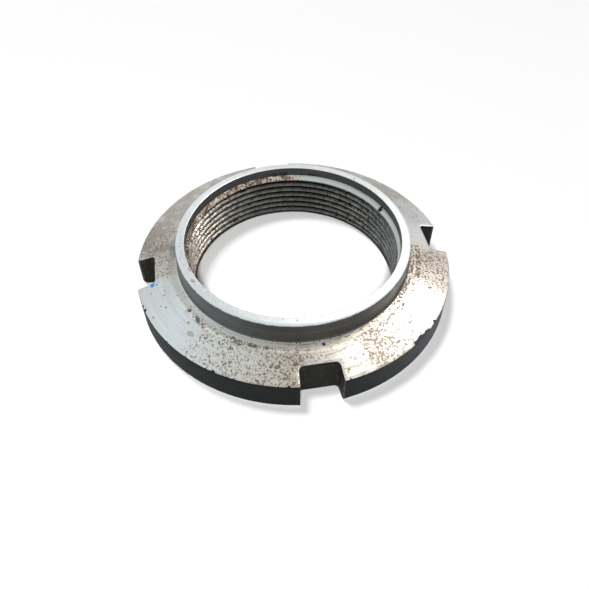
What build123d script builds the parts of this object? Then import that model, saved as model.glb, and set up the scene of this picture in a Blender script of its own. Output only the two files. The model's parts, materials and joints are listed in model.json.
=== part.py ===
from build123d import *
import os
from math import hypot, radians, sqrt, tan

# Slotted round nut with a raised collar, turned and milled from one piece of steel.
# Millimetres. The origin is the centre of the underside, +Z is the thread axis, and
# one slot lies on each of +X, +Y, -X and -Y.

# Thread, M60 x 2. The hole is bored to its tapping size; the groove itself is not cut here.
thread_major = 60.0
thread_pitch = 2.0
relief_clearance = 0.1  # radial, from the thread to the counterbore above it
mouth_clearance = 1.0  # radial, from the thread to the wide end of the underside countersink

# Turned body
flange_diameter = 89.0
overall_height = 18.0
collar_wall = 2.5  # around the counterbore
shelf_height = 11.8  # flat shelf around the foot of the collar
shelf_width = 3.4
cone_angle = 17.0  # fall of the flange's top from the shelf to the rim, in degrees
counterbore_depth = 2.7
underside_chamfer = 1.0
collar_edge_radius = 0.8
collar_foot_radius = 0.4
edge_break = 0.3  # on the rim's top edge and the slots' outer edges

# Milled slots
slot_count = 4
slot_width = 11.0  # between the side walls at the rim
slot_depth = 5.3
slot_draft = 4.0  # each side wall closes in towards the floor, in degrees
slot_corner_radius = 1.2

# Radii from the axis, and heights, that follow from those
flange_radius = flange_diameter / 2
bore_radius = (thread_major - thread_pitch) / 2
relief_radius = thread_major / 2 + relief_clearance
relief_floor = overall_height - counterbore_depth
lead_in_end = relief_floor - (relief_radius - bore_radius)
collar_radius = relief_radius + collar_wall
shelf_radius = collar_radius + shelf_width
rim_height = shelf_height - (flange_radius - shelf_radius) * tan(radians(cone_angle))
mouth_radius = thread_major / 2 + mouth_clearance
mouth_chamfer = mouth_radius - bore_radius
slot_floor_radius = flange_radius - slot_depth
slot_middle_radius = flange_radius - slot_depth / 2
slot_mouth_radius = sqrt(flange_radius**2 - (slot_width / 2) ** 2)


def slot_half_width(radius):
    """Half the slot's width where its drafted walls cross the given distance from the axis."""
    return slot_width / 2 - (slot_mouth_radius - radius) * tan(radians(slot_draft))


def section_corner(radius, height):
    """The corner of the turned section nearest the given radius and height."""
    return section.vertices().sort_by_distance((radius, height))[0]


# Outline of one slot on +X, from its floor to clear of the rim
with BuildSketch() as slot:
    slot_reach = flange_radius + slot_depth
    with BuildLine():
        Polyline(
            (slot_floor_radius, -slot_half_width(slot_floor_radius)),
            (slot_reach, -slot_half_width(slot_reach)),
            (slot_reach, slot_half_width(slot_reach)),
            (slot_floor_radius, slot_half_width(slot_floor_radius)),
            close=True,
        )
    make_face()
    fillet(slot.vertices().group_by(Axis.X)[0], slot_corner_radius)

with BuildPart() as castle_nut:
    # Turned section: underside, rim, cone, shelf, collar, counterbore, 45-degree lead-in and bore
    with BuildSketch(Plane.XZ) as section:
        with BuildLine():
            Polyline(
                (mouth_radius, 0),
                (flange_radius, 0),
                (flange_radius, rim_height),
                (shelf_radius, shelf_height),
                (collar_radius, shelf_height),
                (collar_radius, overall_height),
                (relief_radius, overall_height),
                (relief_radius, relief_floor),
                (bore_radius, lead_in_end),
                (bore_radius, mouth_chamfer),
                close=True,
            )
        make_face()
        chamfer(section_corner(flange_radius, 0), underside_chamfer)
        chamfer(section_corner(flange_radius, rim_height), edge_break)
        fillet(section_corner(collar_radius, shelf_height), collar_foot_radius)
        fillet(section_corner(collar_radius, overall_height), collar_edge_radius)
    revolve(axis=Axis.Z)

    # Slots through the full height of the flange
    with BuildSketch():
        with PolarLocations(0, slot_count):
            add(slot.sketch)
    extrude(amount=overall_height, mode=Mode.SUBTRACT)

    # The slots' upright outer edges are broken
    upright_edges = castle_nut.edges().filter_by(Axis.Z)
    chamfer(
        upright_edges.filter_by(lambda edge: hypot(edge.center().X, edge.center().Y) > slot_middle_radius),
        edge_break,
    )

castle_nut.part.label = "castle_nut"

os.makedirs("parts", exist_ok=True)
export_step(castle_nut.part, "parts/castle_nut.step")
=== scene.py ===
import json
import math

import bmesh
import bpy
import numpy as np
from mathutils import Matrix, Vector, noise
from mathutils.geometry import delaunay_2d_cdt


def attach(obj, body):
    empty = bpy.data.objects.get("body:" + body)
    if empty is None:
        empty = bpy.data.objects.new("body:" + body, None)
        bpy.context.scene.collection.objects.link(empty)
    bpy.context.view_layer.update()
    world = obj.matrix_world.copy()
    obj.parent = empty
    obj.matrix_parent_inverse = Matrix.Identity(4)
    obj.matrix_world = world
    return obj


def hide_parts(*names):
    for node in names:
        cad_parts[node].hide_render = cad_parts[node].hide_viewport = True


# The castle nut's looks: one closed mesh with the real M60 x 2 groove in its hole, worn edges,
# bright turned faces, dark upright walls, and rust speckle. The mesh is worked out in
# millimetres, like the construction, and scaled to metres when it is made.

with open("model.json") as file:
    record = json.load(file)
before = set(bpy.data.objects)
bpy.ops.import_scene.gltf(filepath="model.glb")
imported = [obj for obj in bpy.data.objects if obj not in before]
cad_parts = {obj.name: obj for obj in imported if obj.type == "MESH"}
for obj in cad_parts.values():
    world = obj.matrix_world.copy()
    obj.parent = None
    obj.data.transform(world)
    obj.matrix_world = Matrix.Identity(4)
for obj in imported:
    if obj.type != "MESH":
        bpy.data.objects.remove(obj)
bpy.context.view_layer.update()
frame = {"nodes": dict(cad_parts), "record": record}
MM = 0.001
NODE = "castle_nut"

# ---------------------------------------------------------------- sizes from the frame, in mm
node_points = np.array([vertex.co for vertex in frame["nodes"][NODE].data.vertices]) / MM
mounts = {mount["name"]: mount for mount in frame["record"]["mounts"]}
flange_radius = float(np.hypot(node_points[:, 0], node_points[:, 1]).max())
flange_radius = round(flange_radius, 1)
overall_height = round(float(node_points[:, 2].max()), 3)
bore_radius = mounts["thread"]["dims"]["r_mm"]
mouth_chamfer = 2.0
lead_in_end = mouth_chamfer + mounts["thread"]["dims"]["length_mm"]

# Sizes that the frame doesn't name, as in the construction
thread_major_radius = 30.0
thread_pitch = 2.0
relief_radius = 30.1
collar_radius = 32.6
collar_edge_radius = 0.8
collar_foot_radius = 0.4
shelf_radius = 36.0
shelf_height = 11.8
cone_angle = math.radians(17.0)
underside_chamfer = 1.0
slot_width = 11.0
slot_depth = 5.3
slot_draft = math.radians(4.0)
slot_corner_radius = 1.2
slot_count = 4
rim_edge_break = 0.25
slot_edge_break = 0.12
rim_chips = (  # along the rim's top edge: degrees, half its length in degrees, depth in mm
    (-52.2, 3.4, 0.55), (-48.4, 2.2, 0.42), (-42.4, 0.7, 0.35), (-162.5, 0.9, 0.4),
    (-164.5, 0.5, 0.2), (-125.8, 1.0, 0.25), (-128.5, 0.5, 0.2), (-81.3, 0.5, 0.25), (-101.0, 0.6, 0.15),
    (-146.0, 0.4, 0.18), (27.0, 0.6, 0.25), (118.0, 0.8, 0.3),
)

relief_floor = lead_in_end + relief_radius - bore_radius
mouth_radius = bore_radius + mouth_chamfer
slot_floor = flange_radius - slot_depth
slot_mouth = math.sqrt(flange_radius**2 - (slot_width / 2) ** 2)

# Mesh spacing
COLUMNS = 432  # around the collar and the hole
OUTLINE_STEP = 0.36  # along the flange's outline
CAP_STEP = 0.6  # across the cone
UNDERSIDE_STEP = 1.6


# ---------------------------------------------------------------- the flange's outline
def slot_half_width(along):
    """Half the slot's width at a distance from the axis; the walls draw in towards the floor."""
    return slot_width / 2 - (slot_mouth - along) * math.tan(slot_draft)


def line(start, end, step=OUTLINE_STEP):
    """Points from start up to, but without, end."""
    count = max(1, math.ceil(math.dist(start, end) / step))
    return [tuple(a + (b - a) * i / count for a, b in zip(start, end)) for i in range(count)]


def arc(centre, radius, start, end, step=OUTLINE_STEP):
    """Points along an arc from the start angle up to, but without, the end angle."""
    count = max(2, math.ceil(abs(end - start) * radius / step))
    angles = [start + (end - start) * i / count for i in range(count)]
    return [(centre[0] + radius * math.cos(a), centre[1] + radius * math.sin(a)) for a in angles]


def half_slot_outline():
    """From the middle of the slot on +X, round its corner and out, then along the rim to 45 degrees."""
    centre_x = slot_floor + slot_corner_radius
    centre_y = slot_half_width(centre_x) - slot_corner_radius / math.cos(slot_draft)
    wall_normal = math.pi / 2 + slot_draft
    wall_start = (
        centre_x + slot_corner_radius * math.cos(wall_normal),
        centre_y + slot_corner_radius * math.sin(wall_normal),
    )
    edge_x = slot_mouth - rim_edge_break
    wall_end = (edge_x, slot_half_width(edge_x))
    rim_start = math.asin(slot_width / 2 / flange_radius) + rim_edge_break / flange_radius
    rim_point = (flange_radius * math.cos(rim_start), flange_radius * math.sin(rim_start))
    points = line((slot_floor, 0), (slot_floor, centre_y))
    points += arc((centre_x, centre_y), slot_corner_radius, math.pi, wall_normal, 0.2)
    points += line(wall_start, wall_end)
    points += line(wall_end, rim_point, 0.15)
    points += arc((0, 0), flange_radius, rim_start, math.pi / slot_count)
    return points


def flange_outline():
    """The outline of the flange, seen from above, counter-clockwise."""
    half = half_slot_outline()
    middle = math.pi / slot_count
    corner = (flange_radius * math.cos(middle), flange_radius * math.sin(middle))
    mirrored = []
    for x, y in reversed(half[1:] + [corner]):
        angle = 2 * middle - math.atan2(y, x)
        mirrored.append((math.hypot(x, y) * math.cos(angle), math.hypot(x, y) * math.sin(angle)))
    sector = np.array(half + mirrored)
    turns = []
    for i in range(slot_count):
        a = 2 * math.pi * i / slot_count
        turns.append(sector @ np.array([[math.cos(a), math.sin(a)], [-math.sin(a), math.cos(a)]]))
    return np.concatenate(turns)


def outward(points):
    """Unit normals of a closed counter-clockwise outline."""
    tangent = np.roll(points, -1, axis=0) - np.roll(points, 1, axis=0)
    normal = np.stack([tangent[:, 1], -tangent[:, 0]], axis=1)
    return normal / np.linalg.norm(normal, axis=1, keepdims=True)


def smooth(low, high, value):
    """0 at low and 1 at high, with soft ends; low may be the larger."""
    t = np.clip((value - low) / (high - low), 0, 1)
    return t * t * (3 - 2 * t)


def top_height(radius):
    """Height of the shelf and the cone."""
    fall = np.clip(radius - shelf_radius, 0, None)
    return shelf_height - fall * math.tan(cone_angle)


def underside_height(radius):
    """Height of the flat underside and its chamfer."""
    return np.clip(radius - (flange_radius - underside_chamfer), 0, None)


def inside_flange(x, y, margin):
    """Whether a point is inside the outline by at least the margin."""
    radius = math.hypot(x, y)
    if radius > flange_radius - margin:
        return False
    sector = 2 * math.pi / slot_count
    angle = (math.atan2(y, x) + sector / 2) % sector - sector / 2
    along, across = radius * math.cos(angle), abs(radius * math.sin(angle))
    return along < slot_floor - margin or across > slot_half_width(along) + margin


# ---------------------------------------------------------------- the mesh
class Shell:
    """Vertices and faces of the nut, with a material name for each face."""

    def __init__(self):
        self.points = []
        self.faces = []
        self.looks = []

    def add_ring(self, points):
        start = len(self.points)
        self.points.extend(tuple(map(float, point)) for point in points)
        return list(range(start, start + len(points)))

    def bridge(self, lower, upper, look):
        """Quads between two closed rings of equal length, facing out where lower is below upper."""
        count = len(lower)
        for i in range(count):
            j = (i + 1) % count
            self.faces.append((lower[i], lower[j], upper[j], upper[i]))
            self.looks.append(look if isinstance(look, str) else look[i])

    def cap(self, outer, inner, inner_radius, height, step, look, extra=()):
        """Triangles between the outline's ring and a circle, on a surface of revolution."""
        flat = [self.points[i][:2] for i in outer + inner]
        rows = np.arange(inner_radius + step, flange_radius, step * 0.87)
        for row, radius in enumerate(rows):
            count = int(2 * math.pi * radius / step)
            for i in range(count):
                angle = 2 * math.pi * (i + 0.5 * (row % 2)) / count
                x, y = radius * math.cos(angle), radius * math.sin(angle)
                clear = all(abs(radius - other) > step / 2 for other in extra)
                if clear and inside_flange(x, y, 0.3 + step / 2):
                    flat.append((x, y))
        for radius in extra:
            count = int(2 * math.pi * radius / OUTLINE_STEP)
            for i in range(count):
                angle = 2 * math.pi * i / count
                x, y = radius * math.cos(angle), radius * math.sin(angle)
                if inside_flange(x, y, 0.3):
                    flat.append((x, y))
        edges = []
        for start, count in ((0, len(outer)), (len(outer), len(inner))):
            edges += [(start + i, start + (i + 1) % count) for i in range(count)]
        vectors = [Vector(point) for point in flat]
        only_inside_outline = 1
        cut = delaunay_2d_cdt(vectors, edges, [], only_inside_outline, 1e-5)
        found, triangles, sources = cut[0], cut[2], cut[3]
        known = outer + inner
        index = []
        for place, source in zip(found, sources):
            if source and min(source) < len(known):
                index.append(known[min(source)])
            else:
                index.append(len(self.points))
                self.points.append((place.x, place.y, float(height(place.length))))
        hole = inner_radius * math.cos(math.pi / COLUMNS)
        for triangle in triangles:
            middle = sum((found[i] for i in triangle), Vector((0, 0))) / 3
            if middle.length > hole:
                self.faces.append(tuple(index[i] for i in triangle))
                self.looks.append(look)

    def object(self, name, materials):
        mesh = bpy.data.meshes.new(name)
        mesh.from_pydata([Vector(point) * MM for point in self.points], [], self.faces)
        names = list(materials)
        for material in materials.values():
            mesh.materials.append(material)
        mesh.polygons.foreach_set("material_index", [names.index(look) for look in self.looks])
        shape = bmesh.new()
        shape.from_mesh(mesh)
        bmesh.ops.recalc_face_normals(shape, faces=shape.faces)
        shape.to_mesh(mesh)
        shape.free()
        mesh.shade_smooth()
        mesh.set_sharp_from_angle(angle=math.radians(32))
        thing = bpy.data.objects.new(name, mesh)
        bpy.context.scene.collection.objects.link(thing)
        return thing


def circle(radius, height):
    angles = np.arange(COLUMNS) * 2 * math.pi / COLUMNS
    return np.stack([radius * np.cos(angles), radius * np.sin(angles), np.full(COLUMNS, height)], axis=1)


def fillet_points(centre, radius, start, end, count):
    angles = [math.radians(start + (end - start) * i / count) for i in range(count + 1)]
    return [(centre[0] + radius * math.cos(a), centre[1] + radius * math.sin(a)) for a in angles]


def add_flange(shell):
    """Rim, slots, cone and underside. Returns the rings at the shelf and at the hole's lower mouth."""
    outline = flange_outline()
    normal = outward(outline)
    radius = np.hypot(outline[:, 0], outline[:, 1])
    sector = 2 * math.pi / slot_count
    angle = (np.arctan2(outline[:, 1], outline[:, 0]) + sector / 2) % sector - sector / 2
    from_slot = np.abs(angle) * flange_radius - slot_width / 2
    on_rim = smooth(0.4, 1.6, from_slot) * (radius > flange_radius - 0.02)
    wave = np.array([noise.noise(Vector((x * 1.3, y * 1.3, 7.0))) for x, y in outline])
    degrees = np.degrees(np.arctan2(outline[:, 1], outline[:, 0]))
    edge = slot_edge_break + (rim_edge_break - slot_edge_break + 0.1 * wave) * on_rim
    chipped = np.zeros(len(outline))
    for middle, half, depth in rim_chips:
        off = np.abs(degrees - middle)
        chipped = np.maximum(chipped, depth * smooth(half, half * 0.4, off) * (1 + 0.8 * wave))
    top_edge = edge + chipped * on_rim
    bevel_look = ["scale" if depth > 0.08 else "turned" for depth in chipped * on_rim]
    low, high = underside_height(radius), top_height(radius)

    def ring(inset, height):
        place = outline - normal * (edge * inset)[:, None]
        return shell.add_ring(np.column_stack([place, height]))

    bottom = ring(1.0, underside_height(np.maximum(radius - edge, 0)))
    rings = [bottom, ring(0.3, low + edge * 0.3), ring(0.0, low + edge)]
    for share in (0.08, 0.2, 0.35, 0.5, 0.65, 0.78, 0.88):
        rings.append(ring(0.0, low + edge + (high - low - 2 * edge) * share))
    edge = top_edge
    rings += [ring(0.0, high - edge), ring(0.3, high - edge * 0.3)]
    inner_edge = outline - normal * edge[:, None]
    top = shell.add_ring(np.column_stack([inner_edge, top_height(np.hypot(*inner_edge.T))]))
    for lower, upper in zip(rings, rings[1:]):
        shell.bridge(lower, upper, "scale")
    shell.bridge(rings[-1], top, bevel_look)
    shelf = shell.add_ring(circle(shelf_radius, shelf_height))
    mouth = shell.add_ring(circle(mouth_radius, 0))
    shell.cap(top, shelf, shelf_radius, top_height, CAP_STEP, "turned")
    chamfer_ring = flange_radius - underside_chamfer
    shell.cap(bottom, mouth, mouth_radius, underside_height, UNDERSIDE_STEP, "underside", (chamfer_ring,))
    return shelf, mouth


def add_collar(shell, shelf):
    """Shelf, collar and counterbore, in to the top of the lead-in. Returns the ring there."""
    foot = (collar_radius + collar_foot_radius, shelf_height + collar_foot_radius)
    edge = (collar_radius - collar_edge_radius, overall_height - collar_edge_radius)
    rows = []
    for radius in np.linspace(shelf_radius, foot[0], 7)[1:]:
        rows.append((radius, shelf_height, "turned"))
    for radius, height in fillet_points(foot, collar_foot_radius, 270, 180, 3)[1:]:
        rows.append((radius, height, "wall"))
    for height in np.linspace(foot[1], edge[1], 9)[1:]:
        rows.append((collar_radius, height, "wall"))
    for radius, height in fillet_points(edge, collar_edge_radius, 0, 90, 5)[1:]:
        rows.append((radius, height, "wall"))
    inner_break = 0.12
    for radius in np.linspace(edge[0], relief_radius + inner_break, 6)[1:]:
        rows.append((radius, overall_height, "collar_top"))
    rows.append((relief_radius + 0.3 * inner_break, overall_height - 0.3 * inner_break, "collar_top"))
    rows.append((relief_radius, overall_height - inner_break, "wall"))
    for height in np.linspace(overall_height - inner_break, relief_floor, 8)[1:]:
        rows.append((relief_radius, height, "relief"))
    ring = shelf
    for radius, height, look in rows:
        following = shell.add_ring(circle(radius, height))
        shell.bridge(ring, following, look)
        ring = following
    return ring


# ---------------------------------------------------------------- the threaded hole
groove_seen_height = 13.22  # the top groove's middle, in mm, at the rear of the hole
groove_seen_angle = 80.6
GROOVE_CENTRE = groove_seen_height - thread_pitch * groove_seen_angle / 360  # where the angle is 0
root_flat = thread_pitch / 8
groove_depth = thread_major_radius - bore_radius
flank = groove_depth * math.tan(math.radians(30))
groove_half = root_flat / 2 + flank


def groove_radius(offset):
    """The hole's radius at a height offset, within half a pitch, from the groove's middle."""
    rise = np.clip((groove_half - np.abs(offset)) / flank, 0, 1)
    return bore_radius + groove_depth * rise


def hole_radius(angle, height):
    """Thread, the countersink at the underside and the 45-degree lead-in, whichever is widest."""
    offset = height - GROOVE_CENTRE - thread_pitch * angle / (2 * math.pi)
    offset = (offset + thread_pitch / 2) % thread_pitch - thread_pitch / 2
    widest = groove_radius(offset)
    widest = np.maximum(widest, mouth_radius - height)
    widest = np.maximum(widest, bore_radius + height - lead_in_end)
    return np.minimum(widest, np.where(height > relief_floor - 1e-6, relief_radius, 99.0))


def thread_rows():
    """Offsets, over one pitch, of the rows that follow the groove: its corners and points between."""
    crest = thread_pitch / 2
    corners = [-crest, -groove_half, -root_flat / 2, root_flat / 2, groove_half, crest]
    pieces = [1, 3, 1, 3, 1]
    rows = []
    for low, high, count in zip(corners, corners[1:], pieces):
        rows += [low + (high - low) * i / count for i in range(count)]
    return rows


def add_hole(shell, mouth, top):
    """Rows that climb with the thread, cut off level at the mouth and at the top of the lead-in."""
    pitch_rows = thread_rows()
    per_pitch = len(pitch_rows)
    first = GROOVE_CENTRE - thread_pitch * (math.floor(GROOVE_CENTRE / thread_pitch) + 2)
    heights = []
    while not heights or heights[-1] < relief_floor:
        turn, row = divmod(len(heights), per_pitch)
        heights.append(first + turn * thread_pitch + pitch_rows[row])
    heights = np.array(heights)
    columns = []
    for column in range(COLUMNS):
        angle = 2 * math.pi * column / COLUMNS
        levels = heights + thread_pitch * column / COLUMNS
        for circle_height in (mouth_chamfer, lead_in_end):
            nearest = np.argmin(np.abs(levels - circle_height))
            levels[nearest] = circle_height
        radii = hole_radius(angle, levels)
        indices = []
        for level, radius in zip(levels, radii):
            if level <= 0.02:
                indices.append(mouth[column])
            elif level >= relief_floor - 0.02:
                indices.append(top[column])
            else:
                point = (radius * math.cos(angle), radius * math.sin(angle), level)
                indices.append(shell.add_ring([point])[0])
        columns.append(indices)
    # once round, each row meets the row one pitch above it
    columns.append(columns[0][per_pitch:] + [top[0]] * per_pitch)
    for left, right in zip(columns, columns[1:]):
        for row in range(len(heights) - 1):
            corners = []
            for index in (left[row], left[row + 1], right[row + 1], right[row]):
                if index not in corners:
                    corners.append(index)
            if len(corners) > 2:
                level = sum(shell.points[index][2] for index in corners) / len(corners)
                shell.faces.append(tuple(corners))
                shell.looks.append("lead_in" if level > lead_in_end else "thread")


# ---------------------------------------------------------------- material building
class Look:
    """A material and short names for making its nodes. Coordinates are the object's own, in mm."""

    def __init__(self, name, metallic=1.0, roughness=0.4):
        self.material = bpy.data.materials.new(name)
        self.material.use_nodes = True
        self.nodes = self.material.node_tree.nodes
        self.links = self.material.node_tree.links
        self.shader = self.nodes["Principled BSDF"]
        self.set("Metallic", metallic)
        self.set("Roughness", roughness)
        metres = self.add("ShaderNodeTexCoord").outputs["Object"]
        self.place = self.vector("SCALE", metres, scale=1 / MM)
        parts = self.add("ShaderNodeSeparateXYZ", {0: self.place}).outputs
        self.x, self.y, self.height = parts[0], parts[1], parts[2]
        level = self.add("ShaderNodeCombineXYZ", {0: self.x, 1: self.y}).outputs[0]
        self.radius = self.vector("LENGTH", level)
        radians = self.math("ARCTAN2", self.y, self.x)
        self.angle = self.math("MULTIPLY", radians, math.degrees(1))

    def add(self, kind, inputs=None, **settings):
        node = self.nodes.new(kind)
        for name, value in settings.items():
            setattr(node, name, value)
        for socket, value in (inputs or {}).items():
            self.join(value, node.inputs[socket])
        return node

    def join(self, value, socket):
        if isinstance(value, bpy.types.NodeSocket):
            self.links.new(value, socket)
        else:
            socket.default_value = value

    def set(self, name, value):
        self.join((*value, 1) if isinstance(value, tuple) else value, self.shader.inputs[name])

    def math(self, operation, *values):
        return self.add("ShaderNodeMath", dict(enumerate(values)), operation=operation).outputs[0]

    def vector(self, operation, value, scale=1.0):
        node = self.add("ShaderNodeVectorMath", {0: value, 3: scale}, operation=operation)
        return node.outputs[1 if operation == "LENGTH" else 0]

    def ease(self, value, low, high):
        """0 below low and 1 above high, or the other way round where low is the larger."""
        node = self.add("ShaderNodeMapRange", {0: value, 1: low, 2: high}, interpolation_type="SMOOTHSTEP")
        return node.outputs[0]

    def times(self, *values):
        result = values[0]
        for value in values[1:]:
            result = self.math("MULTIPLY", result, value)
        return result

    def most(self, *values):
        result = values[0]
        for value in values[1:]:
            result = self.math("MAXIMUM", result, value)
        return result

    def scaled(self, value, low, high):
        """From 0..1 to low..high, without a limit."""
        return self.math("MULTIPLY_ADD", value, high - low, low)

    def noise(self, size, detail=3.0, roughness=0.55, seed=0.0, stretch=None):
        """Noise with features of a size in mm. A stretched one runs along circles, for that many mm."""
        if stretch is None:
            place = self.vector("SCALE", self.place, scale=1 / size)
        else:
            across = self.math("ADD", self.radius, self.height)
            values = (self.x, self.y, across)
            sizes = (stretch, stretch, size)
            parts = {i: self.times(v, 1 / s) for i, (v, s) in enumerate(zip(values, sizes))}
            place = self.add("ShaderNodeCombineXYZ", parts).outputs[0]
        inputs = {"Vector": place, "W": seed, "Scale": 1.0, "Detail": detail, "Roughness": roughness}
        return self.add("ShaderNodeTexNoise", inputs, noise_dimensions="4D").outputs[0]

    def mix(self, factor, first, second):
        node = self.add("ShaderNodeMix", data_type="RGBA")
        self.join(factor, node.inputs[0])
        for socket, colour in ((node.inputs[6], first), (node.inputs[7], second)):
            self.join((*colour, 1) if isinstance(colour, tuple) else colour, socket)
        return node.outputs[2]

    def blend(self, factor, first, second):
        """Between two numbers, by a factor."""
        node = self.add("ShaderNodeMix", {0: factor, 2: first, 3: second}, data_type="FLOAT")
        return node.outputs[0]

    def shade(self, colour, factor):
        """A colour made lighter or darker by a factor."""
        return self.vector("SCALE", colour, scale=factor)

    def sector(self, middle, half, soft=1.0):
        """1 within half degrees of the middle angle, fading out over the soft edge."""
        turned = self.math("SUBTRACT", self.angle, middle)
        off = self.math("ABSOLUTE", self.math("WRAP", turned, 180.0, -180.0))
        return self.ease(off, half + soft, half - soft)

    def belt(self, value, low, high, soft=0.3):
        """1 between two values, fading out over the soft edges."""
        above = self.ease(value, low - soft, low + soft)
        return self.times(above, self.ease(value, high + soft, high - soft))

    def spot(self, degrees, radius, length, width, ragged):
        """1 inside an oval at a place on the nut, with its edge moved by the ragged value."""
        turn = self.math("SUBTRACT", self.angle, degrees)
        along = self.times(turn, math.radians(radius) * 2 / length)
        across = self.times(self.math("SUBTRACT", self.radius, radius), 2 / width)
        place = self.add("ShaderNodeCombineXYZ", {0: along, 1: across}).outputs[0]
        return self.ease(self.math("ADD", self.vector("LENGTH", place), ragged), 1.25, 0.75)

    def around(self, *stops):
        """A value that changes with the angle, from listed pairs of degrees and value."""
        ramp = self.add("ShaderNodeValToRGB", {0: self.math("MULTIPLY_ADD", self.angle, 1 / 360, 0.5)})
        elements = ramp.color_ramp.elements
        for index, (degrees, value) in enumerate(stops):
            at = degrees / 360 + 0.5
            element = elements[index] if index < 2 else elements.new(at)
            element.position = at
            element.color = (*value, 1) if isinstance(value, tuple) else (value, value, value, 1)
        return ramp.outputs[0]

    def bump(self, height, depth, beneath=None):
        """Relief of that depth in mm from a 0..1 height."""
        inputs = {"Height": height, "Distance": depth * MM, "Strength": 1.0}
        if beneath is not None:
            inputs["Normal"] = beneath
        return self.add("ShaderNodeBump", inputs).outputs[0]

    def lathe_grain(self, strength):
        """Highlights drawn out across the turning marks, which run round the thread's axis."""
        self.set("Anisotropic", strength)
        self.set("Anisotropic Rotation", 0.25)
        tangent = self.add("ShaderNodeTangent", direction_type="RADIAL", axis="Z").outputs[0]
        self.links.new(tangent, self.shader.inputs["Tangent"])


# ---------------------------------------------------------------- the nut's materials
def turned_face():
    """The cone and the shelf: bright turned steel under dirt, rust speckle and a grey-brown film, with
    painted light and shade: the steel's tone by angle, a lighter shelf near the collar and a darker rear
    half.
    """
    look = Look("turned_face")
    on_cone = look.ease(look.radius, shelf_radius - 0.3, shelf_radius + 0.5)
    # Steel tone by angle, partly painted light and shade.
    colour = look.mix(on_cone, shelf_steel_and_painted_light(look), cone_steel_and_painted_light(look))
    turning = look.noise(0.22, 2.0, 0.5, seed=1.0, stretch=14.0)
    wide_turning = look.noise(0.8, 3.0, 0.6, seed=2.0, stretch=26.0)
    colour = look.shade(colour, look.scaled(turning, 0.90, 1.10))
    colour = look.shade(colour, look.blend(on_cone, look.scaled(wide_turning, 0.6, 1.4),
                                           look.scaled(wide_turning, 0.86, 1.14)))

    # Painted light: the shelf is made lighter towards the collar's foot, by a tenth all round and up to half
    # again from -120 to -95 degrees, to offset its reflection of the dark wall.
    lighter = look.around((-180, 0.1), (-155, 0.3), (-120, 0.5), (-95, 0.5), (-70, 0.1), (180, 0.1))
    painted_light_near_wall = look.times(look.ease(look.radius, shelf_radius - 1.0, shelf_radius - 3.0), lighter)
    colour = look.shade(colour, look.math("ADD", painted_light_near_wall, 1.0))
    dashes = look.ease(look.noise(0.33, 2.0, 0.5, seed=8.0, stretch=5.0), 0.53, 0.62)
    dashed = look.around(
        (-180, 0.0), (-172, 0.12), (-120, 0.12), (-106, 0.4), (-98, 0.75), (-74, 0.75),
        (-60, 0.3), (-40, 0.1), (0, 0.15), (180, 0.1),
    )
    colour = look.mix(look.times(dashes, dashed), colour, (0.33, 0.29, 0.235))
    # Grey-brown film over the rear half, partly real film and partly painted shade.
    colour, film = rear_film_and_painted_shade(look, colour)
    colour, rust = rust_speckle(look, colour, on_cone)
    colour = small_marks(look, colour)

    look.set("Base Color", colour)
    look.set("Metallic", look.blend(rust, 1.0, 0.55))
    look.set("Roughness", look.blend(look.most(rust, film), 0.42, 0.6))
    relief = look.math("SUBTRACT", look.times(turning, 0.5), look.times(rust, 0.6))
    look.set("Normal", look.bump(relief, 0.02))
    look.lathe_grain(0.7)
    return look.material


def cone_steel_and_painted_light(look):
    """Clean steel by angle, set to follow the photo, with painted light and shade in it: sectors are made
    lighter or darker for how the light falls there.
    """
    return look.around(
        (-180, (0.56, 0.57, 0.55)), (-165, (0.59, 0.62, 0.63)), (-150, (0.63, 0.68, 0.69)),
        (-135, (0.63, 0.67, 0.67)), (-118, (0.57, 0.585, 0.55)), (-106, (0.52, 0.51, 0.455)),
        (-97, (0.43, 0.41, 0.365)), (-83, (0.66, 0.635, 0.585)), (-73, (0.64, 0.61, 0.56)),
        (-71, (0.56, 0.53, 0.485)), (-62, (0.58, 0.55, 0.51)), (-52, (0.66, 0.635, 0.60)),
        (-33, (0.62, 0.59, 0.565)), (-22, (0.52, 0.49, 0.465)), (-10, (0.48, 0.465, 0.45)),
        (0, (0.53, 0.54, 0.54)), (12, (0.48, 0.49, 0.495)), (60, (0.50, 0.51, 0.515)),
        (180, (0.56, 0.57, 0.55)),
    )


def shelf_steel_and_painted_light(look):
    """The same for the shelf: steel by angle, with painted light and shade in it."""
    return look.around(
        (-180, (0.54, 0.55, 0.51)), (-165, (0.60, 0.63, 0.60)), (-150, (0.78, 0.80, 0.76)),
        (-130, (0.86, 0.88, 0.83)), (-110, (0.84, 0.84, 0.76)), (-90, (0.74, 0.71, 0.62)),
        (-75, (0.62, 0.60, 0.53)), (-55, (0.62, 0.59, 0.54)), (-35, (0.62, 0.59, 0.55)),
        (-15, (0.52, 0.49, 0.46)), (20, (0.56, 0.575, 0.58)), (180, (0.56, 0.57, 0.54)),
    )


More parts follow.
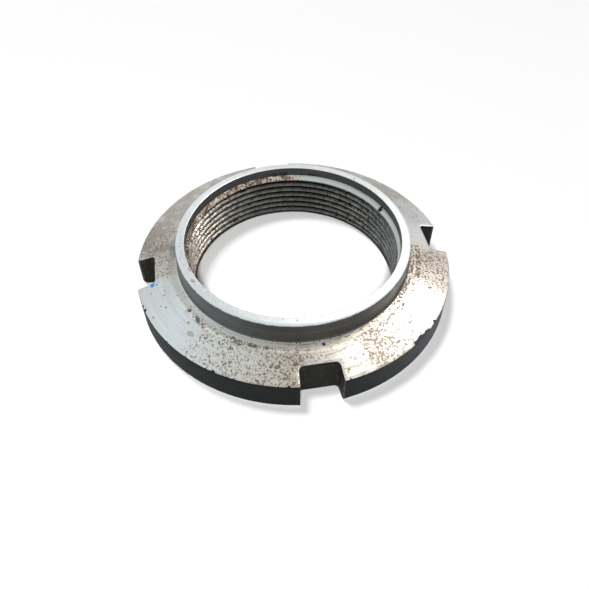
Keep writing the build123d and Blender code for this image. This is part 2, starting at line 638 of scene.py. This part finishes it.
def rear_film_and_painted_shade(look, colour):
    """A thin grey-brown film over the rear half, worn off in patches, with painted shade in it: its tone
    darkens towards the rear left, standing in for the darker reflection there. Returns the colour and the
    mask of film and painted shade.
    """
    share = look.around(
        (-180, 0.5), (-174, 0.4), (-172.5, 0.0), (6, 0.0), (22, 0.35), (28, 0.85), (100, 0.9),
        (128, 0.9), (150, 0.9), (165, 1.0), (180, 0.5),
    )
    patches = look.noise(6.0, 4.0, 0.62, seed=3.0)
    fine = look.noise(1.5, 3.0, 0.65, seed=6.0)
    film = look.times(share, look.scaled(look.ease(patches, 0.40, 0.56), 0.5, 1.0))
    # Film colour by angle, darker towards the rear left as painted shade.
    film_and_shade_colour = look.around(
        (-180, (0.34, 0.315, 0.29)), (20, (0.33, 0.315, 0.29)), (70, (0.32, 0.31, 0.295)),
        (115, (0.27, 0.265, 0.255)), (150, (0.26, 0.255, 0.24)), (168, (0.25, 0.24, 0.225)),
        (180, (0.34, 0.315, 0.29)),
    )
    film_and_shade_colour = look.shade(film_and_shade_colour, look.scaled(fine, 0.55, 1.45))
    return look.mix(film, colour, film_and_shade_colour), film


def rust_speckle(look, colour, on_cone):
    """Brown lace and dark grains, thickest each side of the front slot. Returns colour and rust."""
    cone_share = look.around(
        (-180, 0.75), (-174, 0.78), (-172.6, 0.0), (-141, 0.0), (-137, 0.74), (-125, 0.78),
        (-112, 0.86), (-99, 0.95), (-94, 0.85), (-84, 0.45), (-73, 0.45), (-71.8, 0.98),
        (-63, 0.92), (-54, 0.72), (-44, 0.4), (-31, 0.5), (-26, 0.88), (-10, 0.92), (-6, 0.4),
        (14, 0.45), (24, 0.6), (100, 0.55), (150, 0.6), (163, 0.95), (175, 0.9), (180, 0.75),
    )
    belt_share = look.around(
        (-180, 0.75), (-173, 0.75), (-165, 0.3), (-153, 0.35), (-150, 0.85), (-136, 0.9),
        (-118, 1.0), (-106, 0.95), (-96, 0.75), (-80, 0.5), (-72, 0.95), (-46, 0.95), (-41, 0.7),
        (-30, 0.85), (-25, 1.2), (-8, 1.2), (-4, 0.3), (180, 0.75),
    )
    foot_share = look.around(
        (-180, 0.55), (-150, 0.4), (-120, 0.4), (-100, 0.6), (-84, 0.6), (-74, 0.75), (-50, 0.8),
        (-42, 1.1), (-24, 1.15), (-8, 1.1), (-3, 0.3), (180, 0.55),
    )
    in_belt = look.belt(look.radius, shelf_radius - 1.5, shelf_radius + 0.4, 0.4)
    on_foot = look.ease(look.radius, shelf_radius - 1.2, shelf_radius - 2.0)
    share = look.most(look.times(cone_share, on_cone), look.times(belt_share, in_belt),
                      look.times(foot_share, on_foot))
    grains = look.noise(0.58, 2.0, 0.6, seed=4.0)
    patches = look.noise(3.4, 3.0, 0.6, seed=5.0)
    amount = look.math("ADD", grains, look.scaled(patches, -0.13, 0.13))
    level = look.math("MULTIPLY_ADD", share, -0.23, 0.72)
    over = look.math("SUBTRACT", amount, level)
    rust = look.ease(over, -0.03, 0.06)
    deep = look.ease(over, 0.02, 0.11)
    fresh = look.sector(-62, 12, 5)
    light, dark = (0.31, 0.25, 0.195), (0.10, 0.072, 0.053)
    rust_colour = look.mix(look.times(deep, look.scaled(fresh, 1.0, 0.35)), light, dark)
    brownest = look.most(fresh, look.sector(-17, 11, 4))
    haze = look.times(look.ease(over, -0.12, 0.0), look.scaled(brownest, 0.2, 0.62))
    colour = look.mix(haze, colour, (0.36, 0.29, 0.235))
    return look.mix(look.times(rust, look.scaled(fresh, 0.85, 0.6)), colour, rust_colour), rust


def small_marks(look, colour):
    """Single stains and specks: degrees and mm from the axis, then mm along the circle and across it."""
    ragged = look.scaled(look.noise(0.5, 2.0, 0.6, seed=7.0), 1.0, -1.0)
    stains = (
        (-150, 35.3, 1.2, 0.8), (-143.5, 35.4, 1.4, 0.9), (-140, 35.6, 1.2, 0.8),
        (-125, 34.8, 1.2, 0.8), (-121.5, 36.0, 1.0, 0.8), (-116, 35.5, 2.8, 0.9),
        (-110, 35.3, 1.2, 0.7), (-98.3, 38.8, 1.4, 0.9), (-105, 39.8, 1.5, 0.9),
        (-80.5, 42.0, 0.8, 0.6), (-145.3, 37.5, 0.7, 0.6),
    )
    specks = (
        (-164, 38.4, 0.5, 0.5), (-158, 39.4, 0.55, 0.5), (-168, 41.4, 0.5, 0.5),
        (-160, 40.4, 0.4, 0.4), (-157.5, 43.3, 0.5, 0.5), (-97.8, 33.2, 0.5, 0.5),
        (-73.5, 39.8, 0.6, 0.5),
    )
    paint = ((-171.9, 40.4, 1.5, 1.3), (-171.0, 39.3, 0.6, 0.5), (-165.8, 37.7, 0.5, 0.4))
    for marks, tint, strength in (
        (((-141, 39.3, 2.2, 1.3),), (0.36, 0.31, 0.25), 0.7),
        (stains, (0.12, 0.09, 0.065), 0.8),
        (specks, (0.10, 0.12, 0.16), 0.8),
        (((-67, 43.5, 1.8, 0.6), (-62, 41.7, 1.4, 0.7)), (0.40, 0.43, 0.46), 0.6),
        (paint, (0.02, 0.28, 0.72), 1.0),
        (((-86.6, 34.3, 0.8, 1.1),), (0.01, 0.02, 0.14), 1.0),
    ):
        covered = look.most(*(look.spot(*mark, ragged) for mark in marks))
        colour = look.mix(look.times(covered, strength), colour, tint)
    return colour


def collar_top():
    """The flat ring on top of the collar, the brightest face, with a few brown stains and a painted
    highlight in its tone by angle.
    """
    look = Look("collar_top", roughness=0.45)
    turning = look.noise(0.18, 2.0, 0.5, seed=11.0, stretch=16.0)
    # Steel tone by angle, partly painted highlight: lightest from the front round to the right.
    steel = look.around(
        (-180, (0.55, 0.565, 0.57)), (-130, (0.62, 0.64, 0.645)), (-90, (0.70, 0.71, 0.71)),
        (0, (0.72, 0.73, 0.745)), (30, (0.62, 0.635, 0.645)), (100, (0.55, 0.565, 0.57)),
        (140, (0.59, 0.60, 0.61)), (180, (0.55, 0.565, 0.57)),
    )
    cloud = look.noise(1.6, 3.0, 0.65, seed=12.0)
    colour = look.shade(look.shade(steel, look.scaled(turning, 0.88, 1.12)), look.scaled(cloud, 0.8, 1.2))
    ragged = look.scaled(look.noise(0.4, 2.0, 0.6, seed=13.0), 1.0, -1.0)
    share = look.around(
        (-180, 0.8), (-165, 0.7), (-150, 0.75), (-125, 0.55), (-90, 0.5), (-60, 0.3), (-45, 0.1), (-30, 0.7),
        (-16, 0.6), (0, 0.2), (120, 0.3), (155, 0.6), (180, 0.8),
    )
    grains = look.noise(0.6, 3.0, 0.62, seed=14.0)
    dots = look.ease(look.math("MULTIPLY_ADD", share, 0.12, grains), 0.66, 0.72)
    colour = look.mix(look.times(dots, 0.7), colour, (0.20, 0.165, 0.14))
    stains = ((-155, 31.4, 1.6, 0.8), (-170, 32.1, 0.8, 0.6), (-97.5, 31.0, 0.6, 0.4), (-94, 32.0, 0.7, 0.4),
              (-50, 32.1, 0.9, 0.6), (43.5, 31.0, 0.5, 0.9), (-163, 30.5, 2.0, 0.4), (-22, 32.3, 2.6, 0.4))
    stained = look.most(*(look.spot(*mark, ragged) for mark in stains))
    colour = look.mix(look.times(stained, 0.6), colour, (0.17, 0.13, 0.11))
    look.set("Base Color", colour)
    look.set("Normal", look.bump(turning, 0.008))
    look.lathe_grain(0.4)
    return look.material


def collar_wall():
    """The collar's outer wall, dark as a painted reflection, up to a ragged line above which its rounded top
    edge is painted bright, also a painted reflection.
    """
    look = Look("collar_wall", roughness=0.42)
    # Painted reflection: the wall's dark tone by angle stands in for the dark surroundings that its machined
    # steel reflects.
    painted_dark_reflection = look.around(
        (-180, (0.16, 0.17, 0.17)), (-150, (0.125, 0.14, 0.143)), (-125, (0.105, 0.112, 0.11)),
        (-105, (0.075, 0.073, 0.068)), (-75, (0.095, 0.095, 0.092)), (-45, (0.105, 0.10, 0.10)),
        (-20, (0.08, 0.075, 0.072)), (180, (0.16, 0.17, 0.17)),
    )
    turning = look.noise(0.3, 2.0, 0.5, seed=21.0, stretch=40.0)
    cloud = look.noise(3.0, 3.0, 0.6, seed=22.0)
    painted_dark_reflection = look.shade(look.shade(painted_dark_reflection, look.scaled(turning, 0.75, 1.25)), look.scaled(cloud, 0.8, 1.2))
    upper_line = look.belt(look.height, 15.0, 15.12, 0.1)
    light_lines = look.most(upper_line, look.belt(look.height, 14.6, 14.66, 0.08))
    painted_dark_reflection = look.mix(look.times(light_lines, 0.35), painted_dark_reflection, (0.26, 0.27, 0.27))
    # Painted reflection: above a ragged line the rounding of the top edge is painted bright, standing in for
    # the bright room it reflects, while below it the wall stays dark.
    ragged = look.math("ADD", look.height, look.scaled(look.noise(0.7, 3.0, 0.65, seed=23.0), 0.35, -0.35))
    pale_edge = look.ease(ragged, overall_height - 0.5, overall_height - 0.35)
    look.set("Base Color", look.mix(pale_edge, painted_dark_reflection, (0.63, 0.67, 0.69)))
    look.set("Normal", look.bump(turning, 0.01))
    look.lathe_grain(0.5)
    return look.material


def black_scale():
    """Rim and slots: black, matt and pitted, with the slots' upright corners worn grey; the rim's black by
    angle is partly painted light, lightest at the front right.
    """
    look = Look("black_scale", metallic=0.0, roughness=0.55)
    pits = look.noise(0.7, 4.0, 0.65, seed=31.0)
    cloud = look.noise(4.0, 3.0, 0.6, seed=32.0)
    in_slot = look.ease(look.radius, flange_radius - 0.5, flange_radius - 0.9)
    # Partly painted light: the rim's black is set by angle, several times lighter at the front right, near
    # -45 degrees, than at the front left, near -118 degrees.
    rim = look.around(
        (-180, (0.020, 0.022, 0.023)), (-155, (0.017, 0.020, 0.021)), (-140, (0.012, 0.0145, 0.016)),
        (-118, (0.0085, 0.0115, 0.0105)), (-95, (0.008, 0.0105, 0.0105)), (-75, (0.018, 0.021, 0.022)),
        (-62, (0.036, 0.040, 0.043)), (-45, (0.075, 0.080, 0.088)), (-20, (0.05, 0.053, 0.057)),
        (30, (0.018, 0.020, 0.021)), (180, (0.020, 0.022, 0.023)),
    )
    colour = look.mix(in_slot, rim, (0.018, 0.018, 0.016))
    colour = look.shade(look.shade(colour, look.scaled(pits, 0.2, 1.8)), look.scaled(cloud, 0.5, 1.5))
    quarter = look.math("WRAP", look.angle, 45.0, -45.0)
    from_slot = look.math("ABSOLUTE", quarter)
    corner_degrees = math.degrees(math.asin(slot_width / 2 / flange_radius))
    corner = look.belt(from_slot, corner_degrees - 0.25, corner_degrees + 0.25, 0.12)
    worn = look.ease(look.noise(1.2, 3.0, 0.6, seed=33.0), 0.42, 0.58)
    pale_edge = look.times(corner, worn, look.ease(look.radius, flange_radius - 0.8, flange_radius - 0.4))
    colour = look.mix(look.times(pale_edge, 0.8), colour, (0.11, 0.12, 0.115))
    brown = look.times(in_slot, look.ease(look.noise(1.4, 3.0, 0.6, seed=34.0), 0.56, 0.66))
    look.set("Base Color", look.mix(look.times(brown, 0.6), colour, (0.06, 0.045, 0.03)))
    look.set("Roughness", look.scaled(pits, 0.45, 0.75))
    look.set("Specular IOR Level", 0.08)
    look.set("Normal", look.bump(pits, 0.12))
    return look.material


def counterbore_wall():
    """The wall above the ledge: dark grey with turning lines and black stains at the rear; the dark grey is
    painted reflection, standing in for the dark inside of the hole.
    """
    look = Look("counterbore_wall", roughness=0.5)
    turning = look.noise(0.3, 2.0, 0.5, seed=35.0, stretch=12.0)
    # Painted reflection: a dark grey for the dark inside of the hole that the turned steel reflects.
    grey = look.shade((0.066, 0.068, 0.064), look.scaled(turning, 0.6, 1.4))
    stain = look.ease(look.noise(0.9, 3.0, 0.65, seed=36.0), 0.5, 0.58)
    low = look.ease(look.height, relief_floor + 1.6, relief_floor + 0.6)
    stained = look.times(stain, low, look.sector(80, 16, 6))
    look.set("Base Color", look.mix(stained, grey, (0.006, 0.006, 0.005)))
    look.set("Normal", look.bump(turning, 0.01))
    return look.material


def lead_in_face():
    """The 45-degree ledge above the thread: clean on the right, rusty at the rear left."""
    look = Look("lead_in_face", roughness=0.45)
    share = look.around((-180, 0.9), (-120, 0.6), (-60, 0.1), (40, 0.06), (72, 0.2), (84, 0.85), (180, 0.9))
    spots = look.noise(0.75, 3.0, 0.65, seed=41.0)
    tint = look.noise(2.4, 2.0, 0.6, seed=43.0)
    rusty = look.ease(look.math("ADD", share, look.scaled(tint, -0.5, 0.5)), 0.35, 0.65)
    brown = look.mix(look.ease(tint, 0.42, 0.58), (0.26, 0.195, 0.145), (0.58, 0.52, 0.46))
    colour = look.mix(rusty, (0.52, 0.55, 0.54), brown)
    dark = look.ease(look.math("ADD", spots, look.scaled(share, -0.2, 0.02)), 0.47, 0.54)
    colour = look.mix(look.times(dark, 0.9), colour, (0.055, 0.038, 0.027))
    ragged = look.scaled(look.noise(0.5, 2.0, 0.6, seed=44.0), 1.0, -1.0)
    nick = look.spot(19.5, 29.6, 1.4, 1.5, ragged)
    look.set("Base Color", look.mix(nick, colour, (0.03, 0.027, 0.022)))
    look.set("Normal", look.bump(spots, 0.05))
    return look.material


def thread_face():
    """The groove's flanks and crests, dark at the root with oil and painted shade, freckled with dirt and
    rust, with painted dark reflection in the steel's tone.
    """
    look = Look("thread_face", roughness=0.42)
    # Steel tone by angle, partly painted reflection and shade: dark overall for the dark inside of the hole,
    # lightest at the rear left and darkest at the rear.
    steel = look.around(
        (-180, (0.26, 0.235, 0.21)), (0, (0.13, 0.14, 0.135)), (40, (0.16, 0.165, 0.155)),
        (75, (0.105, 0.107, 0.10)), (105, (0.14, 0.138, 0.13)), (130, (0.30, 0.285, 0.26)),
        (150, (0.40, 0.37, 0.335)), (180, (0.26, 0.235, 0.21)),
    )
    blotch = look.noise(1.3, 4.0, 0.68, seed=42.0)
    cloud = look.noise(5.0, 2.0, 0.6, seed=45.0)
    steel = look.shade(look.shade(steel, look.scaled(blotch, -0.2, 2.2)), look.scaled(cloud, 0.5, 1.5))
    # Oil and painted shade: darker in the deep part of the groove, where the crest above shades it.
    oil_and_painted_shade = look.ease(look.radius, bore_radius + 0.35, bore_radius + 0.8)
    colour = look.mix(oil_and_painted_shade, steel, (0.02, 0.019, 0.017))
    freckled = look.around(
        (-180, 0.5), (0, 0.25), (30, 0.75), (55, 0.7), (75, 0.2), (110, 0.3), (125, 0.8),
        (160, 0.9), (180, 0.5),
    )
    dirt = look.noise(0.9, 3.0, 0.62, seed=46.0)
    dark = look.ease(look.math("ADD", dirt, look.scaled(freckled, 0.0, 0.09)), 0.60, 0.66)
    colour = look.mix(look.times(dark, 0.9), colour, (0.012, 0.011, 0.009))
    rusty = look.around((-180, 0.8), (-90, 0.3), (90, 0.0), (140, 0.3), (180, 0.8))
    rust_spots = look.noise(1.1, 3.0, 0.6, seed=47.0)
    brown = look.ease(look.math("ADD", rust_spots, look.scaled(rusty, -0.1, 0.06)), 0.5, 0.6)
    colour = look.mix(look.times(brown, 0.6), colour, (0.19, 0.125, 0.08))
    look.set("Base Color", colour)
    look.set("Normal", look.bump(blotch, 0.08))
    return look.material


def underside_face():
    """The hidden underside: plain turned steel."""
    look = Look("underside_face", roughness=0.45)
    turning = look.noise(0.3, 2.0, 0.5, seed=51.0, stretch=20.0)
    look.set("Base Color", look.mix(turning, (0.34, 0.34, 0.33), (0.46, 0.47, 0.46)))
    look.lathe_grain(0.6)
    return look.material


materials = {
    "turned": turned_face(),
    "collar_top": collar_top(),
    "wall": collar_wall(),
    "scale": black_scale(),
    "relief": counterbore_wall(),
    "lead_in": lead_in_face(),
    "thread": thread_face(),
    "underside": underside_face(),
}

shell = Shell()
shelf_ring, mouth_ring = add_flange(shell)
lead_in_ring = add_collar(shell, shelf_ring)
add_hole(shell, mouth_ring, lead_in_ring)
nut = shell.object("nut", materials)
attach(nut, "root")
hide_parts(NODE)


# ---------------------------------------------------------------- floor, light and camera
def add_floor():
    bpy.ops.mesh.primitive_circle_add(vertices=96, radius=0.6, fill_type="NGON")
    floor = bpy.context.object
    floor.name = "floor"
    look = Look("floor", metallic=0.0, roughness=0.9)
    look.set("Base Color", (0.9, 0.9, 0.9))
    look.set("Specular IOR Level", 0.0)
    floor.data.materials.append(look.material)


def add_light(name, towards, distance, size, floor_share, colour=(1, 1, 1), shows="all"):
    """A round lamp. Its power gives a white floor that share of full white."""
    direction = Matrix.Rotation(camera_turn, 3, "Z") @ Vector(towards).normalized()
    light = bpy.data.lights.new(name, "AREA")
    light.shape = "DISK"
    light.size = size
    light.energy = floor_share * (math.pi * distance) ** 2 / direction.z
    light.color = colour
    lamp = bpy.data.objects.new(name, light)
    lamp.location = direction * distance
    lamp.rotation_euler = direction.to_track_quat("Z", "Y").to_euler()
    lamp.visible_glossy = shows != "diffuse"
    lamp.visible_diffuse = shows != "gloss"
    bpy.context.scene.collection.objects.link(lamp)


def add_world():
    """An even white room that shows in the metal, while lamps light the floor."""
    world = bpy.data.worlds.new("studio")
    world.use_nodes = True
    background = world.node_tree.nodes["Background"]
    background.inputs["Color"].default_value = (0.97, 0.99, 1.0, 1)
    background.inputs["Strength"].default_value = 1.0
    world.cycles_visibility.diffuse = False
    bpy.context.scene.world = world


camera_turn = math.radians(-9.4)  # about the thread's axis, from straight in front of the -Y slot
camera_rise = math.radians(48.43)
camera_roll = math.radians(-0.165)
camera_distance = 182.28
camera_side = 0.375
camera_lift = -4.846
camera_lens = 37.15


def add_camera():
    turn = Matrix.Rotation(camera_turn, 3, "Z")
    back = turn @ Vector((0, -math.cos(camera_rise), math.sin(camera_rise)))
    right = turn @ Vector((1, 0, 0))
    up = back.cross(right)
    place = back * camera_distance + right * camera_side + up * camera_lift
    rolled_right = right * math.cos(camera_roll) + up * math.sin(camera_roll)
    rolled_up = up * math.cos(camera_roll) - right * math.sin(camera_roll)
    data = bpy.data.cameras.new("camera")
    data.lens = camera_lens
    data.sensor_width = 36.0
    data.clip_start = 0.01
    camera = bpy.data.objects.new("camera", data)
    camera.matrix_world = Matrix((
        (rolled_right.x, rolled_up.x, back.x, place.x * MM),
        (rolled_right.y, rolled_up.y, back.y, place.y * MM),
        (rolled_right.z, rolled_up.z, back.z, place.z * MM),
        (0, 0, 0, 1),
    ))
    bpy.context.scene.collection.objects.link(camera)
    bpy.context.scene.camera = camera


add_floor()
add_world()
add_light("window", (-0.25, 0.19, 1.0), 2.4, 0.52, 0.53, shows="diffuse")
add_light("fill", (0.0, -0.559, 0.829), 2.4, 0.34, 0.62, shows="diffuse")
add_light("sheen", (0.396, 0.387, 0.833), 0.9, 0.35, 0.5, (1.0, 0.97, 0.92), shows="gloss")
add_camera()
bpy.context.scene.view_settings.view_transform = "Standard"
